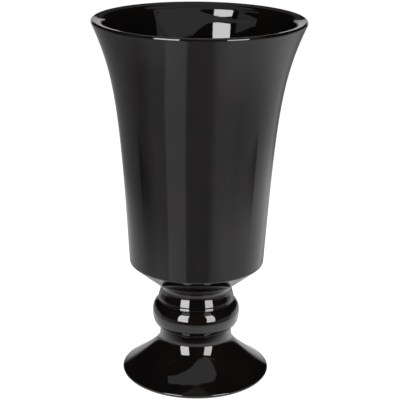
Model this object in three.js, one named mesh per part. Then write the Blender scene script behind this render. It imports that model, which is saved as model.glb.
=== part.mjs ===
// A black glazed goblet vase: a flared cup on a knopped stem and a bell foot.
// Millimetres, +Z up. The origin is the middle of the foot, on the surface that the vase stands on.
// Every piece is turned about +Z from an outline of (radius, level) points.
// The lean of a surface is how many degrees it faces above (or, negative, below) straight outward.

import * as THREE from 'three';

// Overall sizes
const HEIGHT = 280;
const RIM_RADIUS = 79.3;
const FOOT_RADIUS = 57.1;
const SIDES = 48;

// Levels of the three joints, each the lower piece's top face
const FOOT_TOP = 37.9;
const KNOP_TOP = 60.4;
const COLLAR_TOP = 69.7;
const SLIP_THICKNESS = 0.7;

// The joints: a raised spigot below drops into a rebate above, and a ring of slip fills the shoulder
const BORE_RADIUS = 13;
const BORE_TOP = 87;
const BORE_END_ROUNDING = 5;
const SPIGOT_RADIUS = 18;
const SPIGOT_HEIGHT = 2.5;
const REBATE_CLEARANCE = 0.3;
const SLIP_SET_BACK = 0.25;

// An end of a smooth stretch has a radius, a level, the surface's lean there, and the pull,
// which is how far the stretch holds that lean. Steps are how many flats stand for a curve.

// The cup
const NECK = { radius: 26.7, level: COLLAR_TOP + SLIP_THICKNESS, lean: 3, pull: 4.4 };
const COVE_END = { radius: 33.5, level: 77.7, lean: -51.5, pull: 4.6 };
const COVE_STEPS = 7;
const BASE_EDGE_ROUNDING = 1.9;
const WALL_START = { radius: 51.6, level: 93.3, lean: -3.5, pull: 117 };
const WALL_END_LEAN = -23.4;
const WALL_END_PULL = 43;
const WALL_STEPS = 14;
const LIP_ROUNDING = 3.5;
const LIP_STEPS = 8;
const WALL_AT_LIP = 2 * LIP_ROUNDING;
const WALL_AT_BASE = 8;
const INSIDE_STEPS = 11;
const CUP_FLOOR_LEVEL = 99;
const CUP_FLOOR_ROUNDING = 14;
const CUP_FLOOR_STEPS = 6;

// The collar
const COLLAR_BOTTOM = { radius: 29.4, level: KNOP_TOP + SLIP_THICKNESS, lean: 25, pull: 0.9 };
const COLLAR_FULL = { radius: 29.0, level: 64.2, lean: 8, pull: 1.9 };
const COLLAR_UPPER_END = { radius: 26.9, level: COLLAR_TOP, lean: 30, pull: 1.9 };
const COLLAR_STEPS = 5;

// The knop
const KNOP_BOTTOM = { radius: 27.4, level: FOOT_TOP + SLIP_THICKNESS, lean: -63.6, pull: 5 };
const KNOP_FULL = { radius: 33.3, level: 51.2, lean: 0, pull: 7 };
const KNOP_UPPER_END = { radius: 29.5, level: KNOP_TOP, lean: 43, pull: 4 };
const KNOP_STEPS = 8;

// The foot
const FOOT_EDGE_DEPTH = 5.6;
const FOOT_EDGE_HEIGHT = 3.4;
const FOOT_EDGE_ROUNDING = 0.8;
const FOOT_EDGE_STEPS = 6;
const FLANK_LEAN = 59;
const FLANK_PULL = 8.6;
const FLANK_END = { radius: 27.7, level: 30.8, lean: 7, pull: 8.1 };
const FLANK_STEPS = 10;
const BEAD_TOP = { radius: 27.7, level: 33.6, lean: 0, pull: 1.6 };
const FOOT_UPPER_END = { radius: 27.2, level: FOOT_TOP, lean: 22, pull: 1 };
const DRY_RING_INNER_RADIUS = 46.5;
const DRY_RING_ROUNDING = 1.2;
const HOLLOW_TOP = { radius: 15, level: 22, lean: -148, pull: 9.4 };
const HOLLOW_SHOULDER = { radius: 43.8, level: 3.6, lean: -110, pull: 11.7 };
const HOLLOW_STEPS = 7;
const HOLLOW_MOUTH_CHAMFER = 2;
const SMALL_ROUNDING_STEPS = 3;

const point = (radius, level) => new THREE.Vector2(radius, level);
const radians = THREE.MathUtils.degToRad;

// Unit vectors at a given lean: straight out of the surface, and up along it.
const outOf = (lean) => point(Math.cos(radians(lean)), Math.sin(radians(lean)));
const upAlong = (lean) => point(-Math.sin(radians(lean)), Math.cos(radians(lean)));

const stepFrom = (start, direction, length) => start.clone().addScaledVector(direction, length);

// A smooth stretch from one end to another.
function sweep(from, to) {
  const start = point(from.radius, from.level);
  const finish = point(to.radius, to.level);
  return new THREE.CubicBezierCurve(
    start,
    stepFrom(start, upAlong(from.lean), from.pull),
    stepFrom(finish, upAlong(to.lean), -to.pull),
    finish,
  );
}

// A round (or, with two radii, oval) stretch about a centre, from one lean to another.
function roundStretch(centre, radius, fromLean, toLean, steps, rise = radius) {
  const points = [];
  for (let i = 0; i <= steps; i += 1) {
    const direction = outOf(fromLean + ((toLean - fromLean) * i) / steps);
    points.push(point(centre.x + radius * direction.x, centre.y + rise * direction.y));
  }
  return points;
}

// The centre of a rounding that is tangent to a surface of the given lean at a point.
const centreBehind = (at, lean, rounding) => stepFrom(at, outOf(lean), -rounding);

// A piece turned from an outline that starts and ends on the axis.
function turned(outline) {
  const geometry = new THREE.LatheGeometry(outline, SIDES);
  geometry.rotateX(Math.PI / 2);
  return geometry;
}

// A ring turned from an outline that runs up its outside and closes on itself.
const turnedRing = (outline) => turned([...outline, outline[0].clone()]);

const BLACK_GLAZE = { color: 0x0b0b0d, roughness: 0.08, metalness: 0 };
const SLIP_UNDER_GLAZE = { color: 0x141416, roughness: 0.12, metalness: 0 };

function piece(name, geometry, finish) {
  const mesh = new THREE.Mesh(geometry, new THREE.MeshStandardMaterial(finish));
  mesh.name = name;
  return mesh;
}

// The face of a joint seen from above: the bore, the spigot round it and the shoulder for the slip.
function spigotDownToBore(faceLevel) {
  return [
    point(SPIGOT_RADIUS, faceLevel),
    point(SPIGOT_RADIUS, faceLevel + SPIGOT_HEIGHT),
    point(BORE_RADIUS, faceLevel + SPIGOT_HEIGHT),
  ];
}

// The face of a joint seen from below: the bore, the rebate that clears the spigot and the shoulder.
function rebateUpFromBore(faceBelow) {
  const shoulder = faceBelow + SLIP_THICKNESS;
  const rebateTop = faceBelow + SPIGOT_HEIGHT + REBATE_CLEARANCE;
  return [
    point(BORE_RADIUS, rebateTop),
    point(SPIGOT_RADIUS + REBATE_CLEARANCE, rebateTop),
    point(SPIGOT_RADIUS + REBATE_CLEARANCE, shoulder),
  ];
}

// A thin flat ring of slip on the shoulder, its edge set back from the surface above and below.
function slipRing(faceLevel, shoulderRadius) {
  const inside = SPIGOT_RADIUS + REBATE_CLEARANCE;
  const outside = shoulderRadius - SLIP_SET_BACK;
  return turnedRing([
    point(inside, faceLevel),
    point(outside, faceLevel),
    point(outside, faceLevel + SLIP_THICKNESS),
    point(inside, faceLevel + SLIP_THICKNESS),
  ]);
}

function bowlGeometry() {
  const lipCentre = point(RIM_RADIUS - LIP_ROUNDING, HEIGHT - LIP_ROUNDING);
  const lip = roundStretch(lipCentre, LIP_ROUNDING, WALL_END_LEAN, WALL_END_LEAN + 180, LIP_STEPS);
  const wallEnd = { radius: lip[0].x, level: lip[0].y, lean: WALL_END_LEAN, pull: WALL_END_PULL };
  const wall = sweep(WALL_START, wallEnd);
  const baseEdgeCentre = centreBehind(wall.v0, WALL_START.lean, BASE_EDGE_ROUNDING);
  const baseEdge = roundStretch(
    baseEdgeCentre, BASE_EDGE_ROUNDING, COVE_END.lean, WALL_START.lean, SMALL_ROUNDING_STEPS,
  );

  // The inside follows the outside, one wall thickness in, down to the rounding round the floor.
  const insideLowest = (CUP_FLOOR_LEVEL + CUP_FLOOR_ROUNDING - WALL_START.level) / wall.getLength();
  const inside = [];
  for (let i = 1; i <= INSIDE_STEPS; i += 1) {
    const share = 1 - ((1 - insideLowest) * i) / INSIDE_STEPS;
    const tangent = wall.getTangentAt(share);
    const thickness = WALL_AT_BASE + (WALL_AT_LIP - WALL_AT_BASE) * share;
    inside.push(stepFrom(wall.getPointAt(share), point(-tangent.y, tangent.x), thickness));
  }
  const insideEnd = inside[inside.length - 1];
  const floorCentre = point(insideEnd.x - CUP_FLOOR_ROUNDING, CUP_FLOOR_LEVEL + CUP_FLOOR_ROUNDING);
  const floorRounding = roundStretch(floorCentre, CUP_FLOOR_ROUNDING, 0, -90, CUP_FLOOR_STEPS);

  const boreEnd = point(BORE_RADIUS - BORE_END_ROUNDING, BORE_TOP - BORE_END_ROUNDING);
  return turned([
    point(0, BORE_TOP),
    ...roundStretch(boreEnd, BORE_END_ROUNDING, 90, 0, SMALL_ROUNDING_STEPS),
    ...rebateUpFromBore(COLLAR_TOP),
    ...sweep(NECK, COVE_END).getPoints(COVE_STEPS),
    ...baseEdge,
    ...wall.getSpacedPoints(WALL_STEPS).slice(1),
    ...lip.slice(1),
    ...inside,
    ...floorRounding,
    point(0, CUP_FLOOR_LEVEL),
  ]);
}

function collarGeometry() {
  return turnedRing([
    ...rebateUpFromBore(KNOP_TOP),
    ...sweep(COLLAR_BOTTOM, COLLAR_FULL).getPoints(SMALL_ROUNDING_STEPS),
    ...sweep(COLLAR_FULL, COLLAR_UPPER_END).getPoints(COLLAR_STEPS).slice(1),
    ...spigotDownToBore(COLLAR_TOP),
  ]);
}

function knopGeometry() {
  return turnedRing([
    ...rebateUpFromBore(FOOT_TOP),
    ...sweep(KNOP_BOTTOM, KNOP_FULL).getPoints(KNOP_STEPS),
    ...sweep(KNOP_FULL, KNOP_UPPER_END).getPoints(KNOP_STEPS).slice(1),
    ...spigotDownToBore(KNOP_TOP),
  ]);
}

function footGeometry() {
  const edgeCentre = point(FOOT_RADIUS - FOOT_EDGE_DEPTH, FOOT_EDGE_HEIGHT);
  const lowerEdge = roundStretch(edgeCentre, FOOT_EDGE_DEPTH, -90, 0, FOOT_EDGE_STEPS, FOOT_EDGE_HEIGHT);
  const browCentre = point(FOOT_RADIUS - FOOT_EDGE_ROUNDING, FOOT_EDGE_HEIGHT);
  const brow = roundStretch(browCentre, FOOT_EDGE_ROUNDING, 0, FLANK_LEAN, SMALL_ROUNDING_STEPS);
  const browEnd = brow[brow.length - 1];
  const flankStart = { radius: browEnd.x, level: browEnd.y, lean: FLANK_LEAN, pull: FLANK_PULL };
  const ringCentre = point(DRY_RING_INNER_RADIUS + DRY_RING_ROUNDING, DRY_RING_ROUNDING);
  return turnedRing([
    point(BORE_RADIUS, HOLLOW_TOP.level + HOLLOW_MOUTH_CHAMFER),
    ...sweep(HOLLOW_TOP, HOLLOW_SHOULDER).getPoints(HOLLOW_STEPS),
    ...roundStretch(ringCentre, DRY_RING_ROUNDING, 180, 270, SMALL_ROUNDING_STEPS),
    ...lowerEdge,
    ...brow.slice(1),
    ...sweep(flankStart, FLANK_END).getPoints(FLANK_STEPS).slice(1),
    ...sweep(BEAD_TOP, FOOT_UPPER_END).getPoints(SMALL_ROUNDING_STEPS),
    ...spigotDownToBore(FOOT_TOP),
  ]);
}

const vase = new THREE.Group();
vase.add(piece('bowl', bowlGeometry(), BLACK_GLAZE));
vase.add(piece('bowl_slip_joint', slipRing(COLLAR_TOP, NECK.radius), SLIP_UNDER_GLAZE));
vase.add(piece('collar', collarGeometry(), BLACK_GLAZE));
vase.add(piece('collar_slip_joint', slipRing(KNOP_TOP, COLLAR_BOTTOM.radius), SLIP_UNDER_GLAZE));
vase.add(piece('knop', knopGeometry(), BLACK_GLAZE));
vase.add(piece('foot_slip_joint', slipRing(FOOT_TOP, FOOT_UPPER_END.radius), SLIP_UNDER_GLAZE));
vase.add(piece('foot', footGeometry(), BLACK_GLAZE));

export default vase;
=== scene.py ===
"""A black glazed goblet vase on a pale studio floor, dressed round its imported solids."""

import math

import bmesh
import bpy
from mathutils import Matrix, Vector, noise
from mathutils.geometry import interpolate_bezier


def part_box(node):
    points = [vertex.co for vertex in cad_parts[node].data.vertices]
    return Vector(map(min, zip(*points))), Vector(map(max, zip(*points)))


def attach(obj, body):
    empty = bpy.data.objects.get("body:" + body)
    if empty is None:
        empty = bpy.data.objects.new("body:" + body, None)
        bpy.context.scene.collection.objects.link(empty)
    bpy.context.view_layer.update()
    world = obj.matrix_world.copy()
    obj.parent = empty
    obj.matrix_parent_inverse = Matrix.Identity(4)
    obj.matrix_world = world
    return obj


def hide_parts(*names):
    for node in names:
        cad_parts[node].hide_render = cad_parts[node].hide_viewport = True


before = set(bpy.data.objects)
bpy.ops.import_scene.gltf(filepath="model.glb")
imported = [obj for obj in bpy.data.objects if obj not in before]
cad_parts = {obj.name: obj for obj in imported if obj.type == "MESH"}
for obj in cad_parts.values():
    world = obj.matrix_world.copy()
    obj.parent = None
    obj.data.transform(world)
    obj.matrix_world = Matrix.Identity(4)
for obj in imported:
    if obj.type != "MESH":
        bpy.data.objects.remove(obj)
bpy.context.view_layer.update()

MM = 0.001

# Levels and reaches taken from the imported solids, in metres
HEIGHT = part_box("bowl")[1].z
RIM_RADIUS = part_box("bowl")[1].x
FOOT_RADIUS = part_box("foot")[1].x
COLLAR_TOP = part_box("bowl_slip_joint")[0].z
BOWL_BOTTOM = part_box("bowl_slip_joint")[1].z
KNOP_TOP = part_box("collar_slip_joint")[0].z
COLLAR_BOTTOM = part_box("collar_slip_joint")[1].z
FOOT_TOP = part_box("foot_slip_joint")[0].z
KNOP_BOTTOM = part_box("foot_slip_joint")[1].z

# Radii that pieces share: the bore through the stem, and the bowl's neck with the slip under it
BORE_RADIUS = 13 * MM
BOWL_NECK_RADIUS = 27.75 * MM

# How finely a piece is turned, from which angle its edges are crisp, and how close two points are one
TURN_STEPS = 176
CRISP_ANGLE = math.radians(40)
SAME_POINT = 1e-6


# Outlines

def point(radius, level):
    """A point of an outline, in metres, on the plane through the axis."""
    return Vector((radius, 0.0, level))


def out_of(lean):
    """The direction straight out of a surface that faces lean degrees above level."""
    return Vector((math.cos(math.radians(lean)), 0.0, math.sin(math.radians(lean))))


def up_along(lean):
    """The direction up along a surface that faces lean degrees above level."""
    return Vector((-math.sin(math.radians(lean)), 0.0, math.cos(math.radians(lean))))


def sweep(start, finish, steps):
    """A smooth stretch between two ends, each (point, lean, how far the lean is held)."""
    (a, a_lean, a_pull), (b, b_lean, b_pull) = start, finish
    return interpolate_bezier(a, a + up_along(a_lean) * a_pull, b - up_along(b_lean) * b_pull, b, steps + 1)


def straight(start, finish, steps):
    """A straight stretch between two points."""
    return [start.lerp(finish, i / steps) for i in range(steps + 1)]


def round_stretch(centre, radius, from_lean, to_lean, steps, rise=None):
    """A round stretch about a centre, or an oval one when its rise differs from its radius."""
    rise = radius if rise is None else rise
    found = []
    for i in range(steps + 1):
        direction = out_of(from_lean + (to_lean - from_lean) * i / steps)
        found.append(centre + Vector((radius * direction.x, 0.0, rise * direction.z)))
    return found


def joined(*stretches):
    """One outline from several stretches, without a point twice where two of them meet."""
    outline = []
    for stretch in stretches:
        for p in stretch:
            if not outline or (p - outline[-1]).length > SAME_POINT:
                outline.append(p)
    return outline


# Meshes

def object_from(bm, name):
    """A finished mesh as an object of the scene, at the origin and unturned."""
    mesh = bpy.data.meshes.new(name)
    bm.to_mesh(mesh)
    bm.free()
    made = bpy.data.objects.new(name, mesh)
    bpy.context.scene.collection.objects.link(made)
    return made


def turn(name, outline, closed=False):
    """A piece turned about the axis from its outline, as a finished object with no modifiers."""
    bm = bmesh.new()
    verts = [bm.verts.new(p) for p in outline]
    edges = [bm.edges.new(pair) for pair in zip(verts, verts[1:])]
    if closed:
        edges.append(bm.edges.new((verts[-1], verts[0])))
    bmesh.ops.spin(
        bm, geom=verts + edges, cent=(0, 0, 0), axis=(0, 0, 1), dvec=(0, 0, 0),
        angle=math.tau, steps=TURN_STEPS, use_merge=True, use_duplicate=False,
    )
    bmesh.ops.remove_doubles(bm, verts=bm.verts, dist=SAME_POINT)
    bmesh.ops.recalc_face_normals(bm, faces=bm.faces)
    for face in bm.faces:
        face.smooth = True
    for edge in bm.edges:
        edge.smooth = edge.calc_face_angle(0) < CRISP_ANGLE
    return object_from(bm, name)


def hand_waver(piece, amount, seed):
    """The slight swell that a hand and a kiln leave: each point moves in or out by up to amount."""
    beside_axis = 2 * MM
    change_per_metre = 9.0
    fineness = 1.3
    for vertex in piece.data.vertices:
        reach = math.hypot(vertex.co.x, vertex.co.y)
        if reach < beside_axis:
            continue
        rise = vertex.co.z * change_per_metre + seed
        around = Vector((vertex.co.x / reach, vertex.co.y / reach, rise))
        share = noise.noise(around * fineness) * amount / reach
        vertex.co.x *= 1 + share
        vertex.co.y *= 1 + share


# The camera

def make_camera():
    distance = 912 * MM
    height = 437 * MM
    pitch = 18.0
    roll = 0.71
    picture_side = 400
    focal_pixels = 1258
    axis_column = 197.28
    data = bpy.data.cameras.new("camera")
    data.sensor_width = 36
    data.lens = focal_pixels * data.sensor_width / picture_side
    data.shift_x = (picture_side / 2 - axis_column) / picture_side
    camera = bpy.data.objects.new("camera", data)
    tilted = Matrix.Rotation(math.radians(90 - pitch), 4, "X")
    rolled = Matrix.Rotation(math.radians(roll), 4, "Z")
    camera.matrix_world = Matrix.Translation((0, -distance, height)) @ (tilted @ rolled)
    bpy.context.scene.collection.objects.link(camera)
    bpy.context.scene.camera = camera


# Materials

class Nodes:
    """A node tree with short calls for adding and wiring nodes."""

    def __init__(self, tree):
        self.tree = tree
        tree.nodes.clear()

    def add(self, kind, operation=None):
        node = self.tree.nodes.new(kind)
        if operation:
            node.operation = operation
        return node

    def wire(self, out, into):
        self.tree.links.new(out, into)

    def feed(self, value, into):
        """Sets an input to a number, or wires an output into it."""
        if isinstance(value, (int, float)):
            into.default_value = value
        else:
            self.wire(value, into)

    def maths(self, operation, *values):
        node = self.add("ShaderNodeMath", operation)
        for value, into in zip(values, node.inputs):
            self.feed(value, into)
        return node.outputs["Value"]

    def times(self, *values):
        """All the values multiplied together, from the first to the last."""
        product = values[0]
        for value in values[1:]:
            product = self.maths("MULTIPLY", product, value)
        return product

    def rest_of(self, value):
        """What a value leaves of 1."""
        return self.maths("SUBTRACT", 1, value)

    def spread(self, value, low, high):
        """A value from 0 to 1 stretched to lie between low and high."""
        node = self.add("ShaderNodeMapRange")
        node.inputs["To Min"].default_value = low
        node.inputs["To Max"].default_value = high
        self.wire(value, node.inputs["Value"])
        return node.outputs["Result"]

    def smooth(self, value, low, high):
        """0 below low, 1 above high, and an even ease between them."""
        node = self.add("ShaderNodeMapRange")
        node.interpolation_type = "SMOOTHSTEP"
        node.inputs["From Min"].default_value = low
        node.inputs["From Max"].default_value = high
        self.wire(value, node.inputs["Value"])
        return node.outputs["Result"]

    def parts(self, vector):
        """The X, Y and Z of a vector."""
        node = self.add("ShaderNodeSeparateXYZ")
        self.wire(vector, node.inputs["Vector"])
        return node.outputs

    def noise(self, coordinates, scale, detail=2.0, roughness=0.5):
        node = self.add("ShaderNodeTexNoise")
        node.inputs["Scale"].default_value = scale
        node.inputs["Detail"].default_value = detail
        node.inputs["Roughness"].default_value = roughness
        self.wire(coordinates, node.inputs["Vector"])
        return node.outputs["Fac"]

    def blend(self, value, low, high, from_colour, to_colour):
        """A colour that goes from one to another as a value goes from low to high."""
        node = self.add("ShaderNodeValToRGB")
        first, last = node.color_ramp.elements
        first.position = low
        first.color = (*from_colour, 1)
        last.position = high
        last.color = (*to_colour, 1)
        self.wire(value, node.inputs["Fac"])
        return node.outputs["Color"]

    def relief(self, height, strength, depth):
        """The normal of a surface with a fine pattern of heights on it."""
        node = self.add("ShaderNodeBump")
        node.inputs["Strength"].default_value = strength
        node.inputs["Distance"].default_value = depth
        self.wire(height, node.inputs["Height"])
        return node.outputs["Normal"]

    def glow(self, strength):
        node = self.add("ShaderNodeEmission")
        self.feed(strength, node.inputs["Strength"])
        return node.outputs["Emission"]

    def background(self, strength, colour=None):
        node = self.add("ShaderNodeBackground")
        if colour:
            node.inputs["Color"].default_value = (*colour, 1)
        self.feed(strength, node.inputs["Strength"])
        return node.outputs["Background"]

    def both(self, first, second):
        """Two shaders added together."""
        node = self.add("ShaderNodeAddShader")
        self.wire(first, node.inputs[0])
        self.wire(second, node.inputs[1])
        return node.outputs["Shader"]

    def mix(self, share, first, second):
        """The first shader where the share is 0, the second where it is 1."""
        node = self.add("ShaderNodeMixShader")
        self.wire(share, node.inputs["Fac"])
        self.wire(first, node.inputs[1])
        self.wire(second, node.inputs[2])
        return node.outputs["Shader"]


def new_material(name):
    material = bpy.data.materials.new(name)
    material.use_nodes = True
    return material, Nodes(material.node_tree)


def show(n, shader, output="ShaderNodeOutputMaterial"):
    """Wires a finished shader to the tree's output."""
    n.wire(shader, n.add(output).inputs["Surface"])


def surface_material(name, ior):
    """A material with one lit surface, and the Object coordinates that its patterns follow."""
    material, n = new_material(name)
    shader = n.add("ShaderNodeBsdfPrincipled")
    shader.inputs["IOR"].default_value = ior
    show(n, shader.outputs["BSDF"])
    where = n.add("ShaderNodeTexCoord").outputs["Object"]
    return material, n, shader.inputs, where


def glaze_material():
    """Iron-black gloss glaze: a trace of brown where it lies thin, and an orange-peel skin."""
    material, n, surface, where = surface_material("black_glaze", ior=1.5)
    thick_glaze = (0.0030, 0.0028, 0.0028)
    thin_glaze = (0.0060, 0.0042, 0.0034)
    clouds = n.noise(where, scale=38.0, detail=3.0)
    breath = n.noise(where, scale=120.0)
    peel = n.noise(where, scale=420.0, detail=1.0)
    n.wire(n.blend(clouds, 0.35, 0.75, thick_glaze, thin_glaze), surface["Base Color"])
    n.wire(n.spread(breath, 0.02, 0.05), surface["Roughness"])
    n.wire(n.relief(peel, strength=0.05, depth=0.05 * MM), surface["Normal"])
    return material


def clay_material():
    """Bare fired stoneware on the dry ring: buff, speckled, rubbed smooth by hand."""
    material, n, surface, where = surface_material("bare_stoneware", ior=1.45)
    speckle = (0.17, 0.125, 0.09)
    buff = (0.36, 0.29, 0.22)
    grain = n.noise(where, scale=900.0, detail=4.0, roughness=0.7)
    n.wire(n.blend(grain, 0.38, 0.62, speckle, buff), surface["Base Color"])
    n.wire(n.spread(grain, 0.7, 0.95), surface["Roughness"])
    n.wire(n.relief(grain, strength=0.5, depth=0.15 * MM), surface["Normal"])
    return material


# Pieces

def bowl_outline():
    """Up from the bore over neck, underside, flared wall and lip, and down inside the cup."""
    wall_start = point(51.6 * MM, 93.3 * MM)
    wall_start_lean = -3.5
    wall_end = point(78.6 * MM, 276.2 * MM)
    wall_end_lean = -23.4
    wall = sweep((wall_start, wall_start_lean, 117 * MM), (wall_end, wall_end_lean, 43 * MM), 90)

    underside_lean = -51.5
    edge_rounding = 1.9 * MM
    edge_centre = wall_start - out_of(wall_start_lean) * edge_rounding
    edge = round_stretch(edge_centre, edge_rounding, underside_lean, wall_start_lean, 10)
    neck = point(BOWL_NECK_RADIUS, BOWL_BOTTOM)
    cone_start = point(33.5 * MM, 77.7 * MM)
    cove = sweep((neck, 0, 4.0 * MM), (cone_start, underside_lean, 4.6 * MM), 20)
    cone = straight(cove[-1], edge[0], 8)

    bore_top = 87 * MM
    bore_rounding = 2 * MM
    bore = [
        point(0, bore_top),
        point(BORE_RADIUS - bore_rounding, bore_top),
        point(BORE_RADIUS, bore_top - bore_rounding),
        point(BORE_RADIUS, BOWL_BOTTOM),
    ]

    inside_lean = 161.5
    lip = lip_outline(wall_end, wall_end_lean, inside_lean)
    return joined(bore, cove, cone, edge, wall, lip, cup_inside(wall, lip[-1], inside_lean))


def lip_outline(wall_end, wall_end_lean, inside_lean):
    """The lip: a short land, a tight outer turn, a crown falling gently inwards and a softer inner turn."""
    land_lean = -9
    crown_lean = 98
    crown_drop = 0.35 * MM
    outer_radius = 1.5 * MM
    outer_centre = point(RIM_RADIUS - outer_radius, HEIGHT - crown_drop - outer_radius)
    outer_turn = round_stretch(outer_centre, outer_radius, land_lean, crown_lean, 18)
    land = sweep((wall_end, wall_end_lean, 0.5 * MM), (outer_turn[0], land_lean, 0.6 * MM), 8)
    inner_radius = 6.4 * MM
    inner_centre = point(76.2 * MM, 272.98 * MM)
    inner_turn = round_stretch(inner_centre, inner_radius, crown_lean, inside_lean, 20)
    return joined(land, outer_turn, straight(outer_turn[-1], inner_turn[0], 6), inner_turn)


def cup_inside(wall, lip_end, lip_end_lean):
    """A slight swelling under the lip, then the wall's own run down to the rounded floor."""
    wall_at_lip = 7 * MM
    wall_at_base = 8 * MM
    swelling_bottom = 267 * MM
    swelling_lean = 157
    floor_level = 99 * MM
    floor_rounding = 14 * MM
    inside = []
    for i in range(len(wall) - 2, 0, -1):
        here = wall[i]
        if here.z < floor_level + floor_rounding:
            break
        along = (wall[i + 1] - wall[i - 1]).normalized()
        share = i / len(wall)
        thickness = wall_at_base + (wall_at_lip - wall_at_base) * share
        inner = here + Vector((-along.z, 0.0, along.x)) * thickness
        if inner.z < swelling_bottom:
            inside.append(inner)
    swelling = sweep((lip_end, lip_end_lean, 2.0 * MM), (inside[0], swelling_lean, 6 * MM), 24)
    floor_centre = point(inside[-1].x - floor_rounding, floor_level + floor_rounding)
    floor_edge = round_stretch(floor_centre, floor_rounding, 0, -90, 16)
    floor = [point(floor_edge[-1].x * (1 - i / 12), floor_level) for i in range(13)]
    return joined(swelling, inside, floor_edge, floor)


def collar_outline():
    """A low swelling ring that draws in to a short neck under the bowl."""
    base = point(29.6 * MM, COLLAR_BOTTOM)
    base_lean = 25
    full = point(29.15 * MM, 63.8 * MM)
    full_lean = 8
    neck_start = point(27.95 * MM, 68.0 * MM)
    neck_lean = 5
    foot = sweep((base, base_lean, 0.9 * MM), (full, full_lean, 1.2 * MM), 12)
    swelling = sweep((full, full_lean, 0.7 * MM), (neck_start, neck_lean, 0.4 * MM), 16)
    top = [point(27.8 * MM, COLLAR_TOP), point(BORE_RADIUS, COLLAR_TOP)]
    return joined([point(BORE_RADIUS, COLLAR_BOTTOM)], foot, swelling, top)


def knop_outline():
    """A full round ring, tucked in sharply below and drawn in to the collar above."""
    base = point(28.0 * MM, KNOP_BOTTOM)
    base_lean = -60
    full = point(33.7 * MM, 51.2 * MM)
    top = point(29.5 * MM, KNOP_TOP)
    top_lean = 56
    underside = sweep((base, base_lean, 4.6 * MM), (full, 0, 7 * MM), 28)
    shoulder = sweep((full, 0, 5.6 * MM), (top, top_lean, 3 * MM), 28)
    return joined([point(BORE_RADIUS, KNOP_BOTTOM)], underside, shoulder, [point(BORE_RADIUS, KNOP_TOP)])


def foot_outline():
    """The hollow and the dry ring below, then up over edge, brow and flank to the beaded neck."""
    edge_depth = 5.6 * MM
    edge_height = 3.4 * MM
    edge_centre = point(FOOT_RADIUS - edge_depth, edge_height)
    lower_edge = round_stretch(edge_centre, edge_depth, -90, 0, 24, rise=edge_height)
    brow_rounding = 0.8 * MM
    brow_centre = point(FOOT_RADIUS - brow_rounding, edge_height)
    flank_lean = 59
    brow = round_stretch(brow_centre, brow_rounding, 0, flank_lean, 10)

    neck_lean = 5.2
    neck_pull = 1.3 * MM
    crest_lean = -0.5
    crest_pull = 0.25 * MM
    flank_end = point(28.0 * MM, 30.9 * MM)
    bead_crest = point(27.93 * MM, 32.4 * MM)
    neck_start = point(27.84 * MM, 33.8 * MM)
    neck_end = point(27.47 * MM, FOOT_TOP)
    flank = sweep((brow[-1], flank_lean, 8.6 * MM), (flank_end, neck_lean, 8.1 * MM), 60)
    bead = sweep((flank_end, neck_lean, 0.7 * MM), (bead_crest, crest_lean, crest_pull), 8)
    bead += sweep((bead_crest, crest_lean, crest_pull), (neck_start, neck_lean, 0.6 * MM), 8)
    neck = sweep((neck_start, neck_lean, neck_pull), (neck_end, neck_lean, neck_pull), 8)

    hollow_top = point(15 * MM, 22 * MM)
    hollow_top_lean = -148
    hollow_low = point(43.8 * MM, 3.6 * MM)
    hollow_low_lean = -110
    hollow = sweep((hollow_top, hollow_top_lean, 9.4 * MM), (hollow_low, hollow_low_lean, 11.7 * MM), 30)
    ring_rounding = 1.2 * MM
    ring_radius = 47.7 * MM
    ring = round_stretch(point(ring_radius, ring_rounding), ring_rounding, 180, 270, 8)
    bore_bottom = 24 * MM
    bore = [point(BORE_RADIUS, FOOT_TOP), point(BORE_RADIUS, bore_bottom)]
    return joined(bore, hollow, ring, lower_edge, brow, flank, bead, neck)


def slip_outline(level, top, radius, hollow_lean):
    """The slip in a joint: a slightly hollow ring that the glaze has pooled over."""
    inner_radius = 18.3 * MM
    pull = (top - level) * 0.4
    face = sweep((point(radius, level), hollow_lean, pull), (point(radius, top), -hollow_lean, pull), 8)
    return joined([point(inner_radius, level)], face, [point(inner_radius, top)])


def dress(piece, materials, nodes):
    for material in materials:
        piece.data.materials.append(material)
    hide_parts(*nodes)
    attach(piece, "root")


def make_vase():
    glaze = glaze_material()
    clay = clay_material()
    bowl = turn("glazed_bowl", bowl_outline())
    collar = turn("glazed_collar", collar_outline(), closed=True)
    knop = turn("glazed_knop", knop_outline(), closed=True)
    foot = turn("glazed_foot", foot_outline(), closed=True)
    waver = 0.12 * MM
    for seed, piece in enumerate((bowl, collar, knop, foot)):
        hand_waver(piece, waver, seed)
    dress(bowl, [glaze], ["bowl"])
    dress(collar, [glaze], ["collar"])
    dress(knop, [glaze], ["knop"])
    dress(foot, [glaze, clay], ["foot"])
    dry_ring_height = 0.7 * MM
    for polygon in foot.data.polygons:
        if polygon.center.z < dry_ring_height:
            polygon.material_index = 1
    for name, level, top, radius, hollow_lean in (
        ("bowl_slip_joint", COLLAR_TOP, BOWL_BOTTOM, BOWL_NECK_RADIUS, 4),
        ("collar_slip_joint", KNOP_TOP, COLLAR_BOTTOM, 29.2 * MM, 14),
        ("foot_slip_joint", FOOT_TOP, KNOP_BOTTOM, 26.7 * MM, 4),
    ):
        ring = turn("pooled_" + name, slip_outline(level, top, radius, hollow_lean), closed=True)
        dress(ring, [glaze], [name])


# The studio's lamps and cards

def round_about(azimuth, distance, height):
    """A place round the vase: azimuth 0 is towards the camera and grows towards the picture's right."""
    a = math.radians(azimuth)
    return Vector((math.sin(a) * distance, -math.cos(a) * distance, height))


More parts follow.
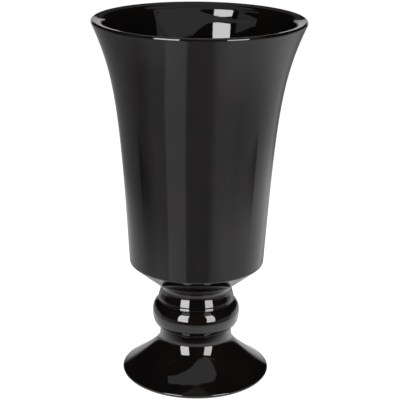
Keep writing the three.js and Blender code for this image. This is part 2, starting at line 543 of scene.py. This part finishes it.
def fill_panel(name, left, right, distance, low, high, watts):
    """A soft upright lamp that lights plain colours and throws the shadow, left out of the glaze."""
    azimuth = (left + right) / 2
    light = bpy.data.lights.new(name, "AREA")
    light.shape = "RECTANGLE"
    light.size = 2 * distance * math.tan(math.radians(right - left) / 2)
    light.size_y = high - low
    light.energy = watts
    lamp = bpy.data.objects.new(name, light)
    lamp.location = round_about(azimuth, distance, (low + high) / 2)
    lamp.rotation_euler = (math.radians(90), 0, math.radians(azimuth))
    lamp.visible_camera = False
    lamp.visible_glossy = False
    bpy.context.scene.collection.objects.link(lamp)


def card(name, faces, glow):
    """A glowing studio card or softbox front, seen only in the glaze."""
    meeting_corners = 0.01 * MM
    bm = bmesh.new()
    for corners in faces:
        bm.faces.new([bm.verts.new(c) for c in corners])
    bmesh.ops.remove_doubles(bm, verts=bm.verts, dist=meeting_corners)
    board = object_from(bm, name)
    material, n = new_material(name)
    show(n, n.glow(glow))
    board.data.materials.append(material)
    board.visible_camera = False
    board.visible_diffuse = False
    board.visible_shadow = False


def bent_card(name, left, right, near, far, glow):
    """A card bent round the vase between two azimuths; each edge is given as distance and height."""
    strips = 6
    faces = []
    for i in range(strips):
        a = left + (right - left) * i / strips
        b = left + (right - left) * (i + 1) / strips
        corners = [round_about(a, *near), round_about(b, *near), round_about(b, *far), round_about(a, *far)]
        faces.append(corners)
    card(name, faces, glow)


def make_lamps():
    """Two tall softboxes for the glaze to mirror, and a fill panel on each side for everything else."""
    foot_of_box = (2.0, -0.33)
    top_distance = 0.62
    left_box = [
        (-46.3, *foot_of_box), (-20, *foot_of_box), (-20, top_distance, 0.70), (-46.3, top_distance, 0.645),
    ]
    right_box = [
        (28, *foot_of_box), (51, *foot_of_box), (51, top_distance, 0.66), (28, top_distance, 0.66),
    ]
    card("left_softbox", [[round_about(*corner) for corner in left_box]], glow=14)
    card("right_softbox", [[round_about(*corner) for corner in right_box]], glow=12)
    for name, left, right in (("fill_left", -60, -15), ("fill_right", 15, 60)):
        fill_panel(name, left, right, distance=1.1, low=0.1, high=0.9, watts=9)


def make_cards():
    """Grey cards: an awning on each side, a wedge over the front, and a round one over the mouth."""
    bent_card("left_awning", -89, -57, near=(0.34, 0.435), far=(0.49, 0.64), glow=0.45)
    bent_card("right_awning", 24, 67, near=(0.30, 0.37), far=(0.60, 0.80), glow=0.42)
    wedge_height = 0.41
    wedge = (
        (-0.24, -0.03), (-0.12, -0.12), (-0.05, -0.165), (0.01, -0.22), (0.05, -0.26), (0.20, -0.27),
        (0.23, -0.20), (0.22, -0.12), (0.20, -0.07), (0.16, -0.07), (0.07, -0.095), (-0.04, -0.095),
        (-0.13, -0.07), (-0.20, -0.03),
    )
    card("overhead_card", [[Vector((x, y, wedge_height)) for x, y in wedge]], glow=0.56)
    corners = 24
    round_card = [round_about(360 * i / corners, 0.09, 0.4) for i in range(corners)]
    card("round_card_over_the_mouth", [round_card], glow=0.45)


# The studio's floor

def paper_for_camera(n, camera_ray):
    """Pale paper that takes the shadow, lifted to white for the camera."""
    lift = 0.85
    paper = n.add("ShaderNodeBsdfDiffuse")
    paper.inputs["Color"].default_value = (0.8, 0.8, 0.8, 1)
    return n.both(paper.outputs["BSDF"], n.glow(n.times(camera_ray, lift)))


def paper_by_the_foot(n, parts, aside):
    """The paper that the foot mirrors: brighter to the sides and the right, shaded behind the foot."""
    middle_glow = 1.1
    more_aside = 3.5
    more_rightwards = 2.0
    deepest_shade = 0.55
    glow = n.maths("ADD", n.times(aside, more_aside), n.times(parts["X"], more_rightwards))
    behind = n.smooth(parts["Y"], 0.02, 0.08)
    beside = n.smooth(aside, 0.055, 0.1)
    shade = n.times(behind, n.rest_of(beside), deepest_shade)
    return n.glow(n.times(n.maths("ADD", glow, middle_glow), n.rest_of(shade)))


def paper_farther_out(n, where, aside):
    """The paper farther out: a faint pool of light at the sides, over whatever stands behind it."""
    pool_glow = 0.38
    from_pool = n.add("ShaderNodeVectorMath", "DISTANCE")
    from_pool.inputs[1].default_value = (0.06, 0.12, 0.0)
    n.wire(where, from_pool.inputs[0])
    pool = n.rest_of(n.smooth(from_pool.outputs["Value"], 0.3, 0.5))
    at_the_sides = n.smooth(aside, 0.08, 0.2)
    clear = n.add("ShaderNodeBsdfTransparent")
    return n.both(n.glow(n.times(pool, at_the_sides, pool_glow)), clear.outputs["BSDF"])


def make_floor():
    """Pale paper: white to the camera with a soft shadow, and in the glaze a lit round by the foot."""
    bm = bmesh.new()
    bmesh.ops.create_circle(bm, cap_ends=True, segments=96, radius=6.0)
    floor = object_from(bm, "studio_floor")
    material, n = new_material("floor_paper")
    ray = n.add("ShaderNodeLightPath").outputs
    where = n.add("ShaderNodeTexCoord").outputs["Object"]
    parts = n.parts(where)
    aside = n.maths("ABSOLUTE", parts["X"])
    reach = n.add("ShaderNodeVectorMath", "LENGTH")
    n.wire(where, reach.inputs[0])
    away = n.smooth(reach.outputs["Value"], 0.115, 0.172)
    mirrored = n.mix(away, paper_by_the_foot(n, parts, aside), paper_farther_out(n, where, aside))
    show(n, n.mix(ray["Is Glossy Ray"], paper_for_camera(n, ray["Is Camera Ray"]), mirrored))
    floor.data.materials.append(material)


# What stands round the vase and is seen in its glaze: from and to which azimuth, and how bright
ROOM = (
    ("wall at the back left", -180, -160, 0.42),
    ("grey wall at the left", -150, -112, 0.34),
    ("gap beside the left stand", -92, -84, 0.26),
    ("table lit from the left", -66, -50, 0.52),
    ("glow under the left softbox", -47, -20, 1.0),
    ("table in front", -16, 18, 0.38),
    ("glow under the right softbox", 29, 48, 0.74),
    ("table lit from the right", 62, 90, 0.62),
    ("grey wall at the right", 120, 140, 0.82),
    ("dark gap at the back right", 156, 170, 0.28),
    ("white wall at the back", 177, 180, 0.8),
)


def rise_at(elevation):
    """How far a direction of length 1 rises when it points elevation degrees above level."""
    return math.sin(math.radians(elevation))


def walls_and_table(n, azimuth, turned_away, rise):
    """The room by azimuth, lit up to the table's edge in front and nearly up to level behind."""
    room = n.add("ShaderNodeValToRGB")
    n.wire(n.maths("ADD", n.times(azimuth, 0.5 / math.pi), 0.5), room.inputs["Fac"])
    stops = room.color_ramp.elements
    while len(stops) < 2 * len(ROOM):
        stops.new(0.5)
    for i, (_, left, right, level) in enumerate(ROOM):
        for stop, degrees in ((stops[2 * i], left), (stops[2 * i + 1], right)):
            stop.position = 0.5 + degrees / 360
            stop.color = (level, level, level, 1)
    behind = n.smooth(turned_away, math.radians(98), math.radians(109))
    upper_edge = n.spread(behind, rise_at(-23.5), rise_at(-2))
    softness = n.spread(behind, 0.02, 0.09)
    below = n.maths("DIVIDE", n.maths("SUBTRACT", upper_edge, rise), softness)
    return n.times(n.smooth(below, -1, 1), room.outputs["Color"])


def screen_behind(n, parts, turned_away, rise):
    """The white screen behind the vase, a little lower and brighter towards the right."""
    middle_top = 0.195
    middle_level = 0.9
    sides = n.smooth(turned_away, math.radians(152), math.radians(160))
    top = n.maths("SUBTRACT", middle_top, n.times(parts["X"], 0.12))
    under_top = n.smooth(n.maths("SUBTRACT", top, rise), -0.012, 0.012)
    over_table = n.smooth(rise, rise_at(-13), rise_at(-10))
    level = n.maths("ADD", middle_level, n.times(parts["X"], 0.3))
    return n.times(n.times(sides, under_top, over_table), level)


def ceiling_behind(n, parts, rise):
    """The dim ceiling above the screen, brighter overhead: the back of the lip mirrors it."""
    low_level = 0.08
    high_level = 0.27
    sideways = n.smooth(n.maths("ABSOLUTE", parts["X"]), 0.2, 0.3)
    far_behind = n.times(n.smooth(parts["Y"], 0.0, 0.1), n.rest_of(sideways))
    low = n.times(n.smooth(rise, rise_at(12), rise_at(15)), low_level)
    high = n.times(n.smooth(rise, rise_at(29), rise_at(45)), high_level)
    return n.times(n.maths("ADD", low, high), far_behind)


def make_world():
    """White to the camera. In the glaze: a white screen behind, a lit table ahead and a dark room above."""
    world = bpy.data.worlds.new("studio")
    bpy.context.scene.world = world
    world.use_nodes = True
    n = Nodes(world.node_tree)
    ray = n.add("ShaderNodeLightPath").outputs
    parts = n.parts(n.add("ShaderNodeTexCoord").outputs["Generated"])
    rise = parts["Z"]
    azimuth = n.maths("ARCTAN2", parts["X"], n.times(parts["Y"], -1))
    turned_away = n.maths("ABSOLUTE", azimuth)
    mirrored = walls_and_table(n, azimuth, turned_away, rise)
    mirrored = n.maths("MAXIMUM", mirrored, screen_behind(n, parts, turned_away, rise))
    mirrored = n.maths("MAXIMUM", mirrored, ceiling_behind(n, parts, rise))

    darkest = 0.012
    plain_light = n.background(0.25)
    in_the_glaze = n.background(n.maths("ADD", mirrored, darkest))
    white = n.background(1.0, colour=(1, 1, 1))
    not_to_camera = n.mix(ray["Is Glossy Ray"], plain_light, in_the_glaze)
    show(n, n.mix(ray["Is Camera Ray"], not_to_camera, white), "ShaderNodeOutputWorld")


scene = bpy.context.scene
scene.view_settings.view_transform = "Standard"
make_camera()
make_floor()
make_world()
make_lamps()
make_cards()
make_vase()
